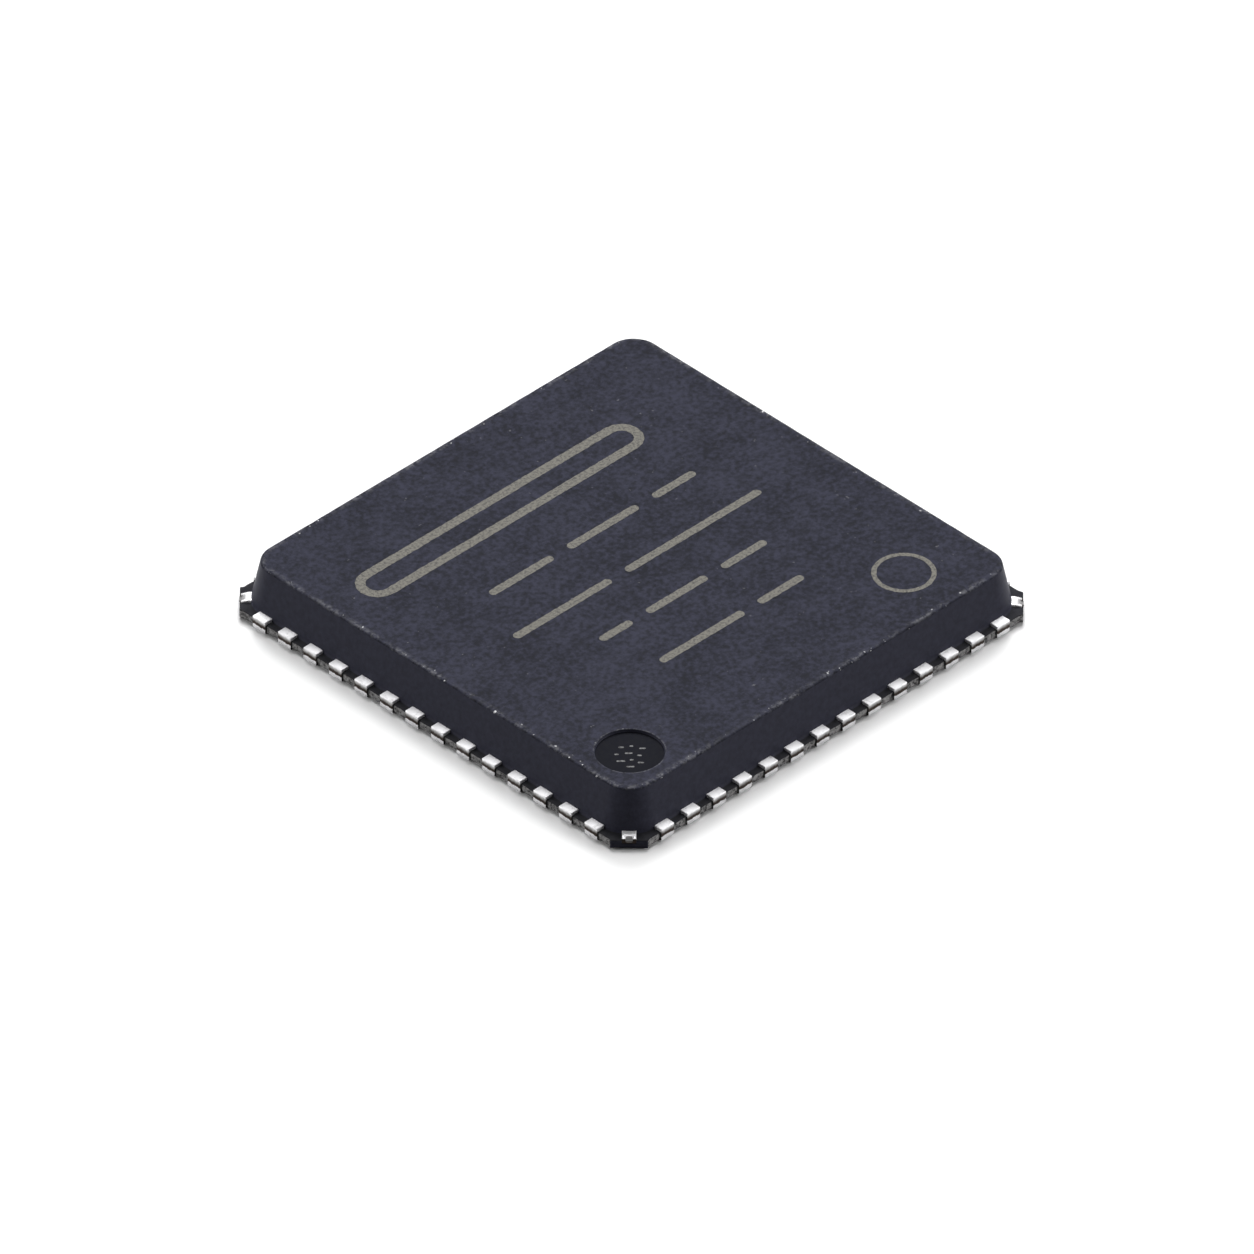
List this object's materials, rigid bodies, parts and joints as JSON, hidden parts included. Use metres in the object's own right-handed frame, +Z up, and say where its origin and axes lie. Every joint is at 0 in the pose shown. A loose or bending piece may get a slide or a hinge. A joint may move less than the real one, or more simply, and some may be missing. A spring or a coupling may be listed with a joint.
{
  "type": "quad flat no-lead chip package",
  "caption": "Thin square resin chip package with a drafted cap, flat solder leads along all four sides, an exposed pad underneath and a first-lead dimple.",
  "frame": {"origin": "centre of the seating plane, under the middle of the package", "axes": "+Z up out of the top face; the first lead's row runs along +X on the -Y side, and the first-lead dimple is in the (-X, -Y) corner"},
  "size_m": [0.008, 0.008, 0.0008],
  "materials": {
    "mould_resin": "satin moulded epoxy resin",
    "tinned_copper": "matte tin plating on copper alloy",
    "silicon": "polished silicon",
    "bond_wire": "drawn gold wire"
  },
  "bodies": {
    "root": {"mould_body": "mould_resin", "die_paddle": "tinned_copper", "die": "silicon", "bond_wires": "bond_wire", "lead_01": "tinned_copper", "lead_02": "tinned_copper", "lead_03": "tinned_copper", "lead_04": "tinned_copper", "lead_05": "tinned_copper", "lead_06": "tinned_copper", "lead_07": "tinned_copper", "lead_08": "tinned_copper", "lead_09": "tinned_copper", "lead_10": "tinned_copper", "lead_11": "tinned_copper", "lead_12": "tinned_copper", "lead_13": "tinned_copper", "lead_14": "tinned_copper", "lead_15": "tinned_copper", "lead_16": "tinned_copper", "lead_17": "tinned_copper", "lead_18": "tinned_copper", "lead_19": "tinned_copper", "lead_20": "tinned_copper", "lead_21": "tinned_copper", "lead_22": "tinned_copper", "lead_23": "tinned_copper", "lead_24": "tinned_copper", "lead_25": "tinned_copper", "lead_26": "tinned_copper", "lead_27": "tinned_copper", "lead_28": "tinned_copper", "lead_29": "tinned_copper", "lead_30": "tinned_copper", "lead_31": "tinned_copper", "lead_32": "tinned_copper", "lead_33": "tinned_copper", "lead_34": "tinned_copper", "lead_35": "tinned_copper", "lead_36": "tinned_copper", "lead_37": "tinned_copper", "lead_38": "tinned_copper", "lead_39": "tinned_copper", "lead_40": "tinned_copper", "lead_41": "tinned_copper", "lead_42": "tinned_copper", "lead_43": "tinned_copper", "lead_44": "tinned_copper", "lead_45": "tinned_copper", "lead_46": "tinned_copper", "lead_47": "tinned_copper", "lead_48": "tinned_copper", "lead_49": "tinned_copper", "lead_50": "tinned_copper", "lead_51": "tinned_copper", "lead_52": "tinned_copper", "lead_53": "tinned_copper", "lead_54": "tinned_copper", "lead_55": "tinned_copper", "lead_56": "tinned_copper"}
  },
  "joints": []
}
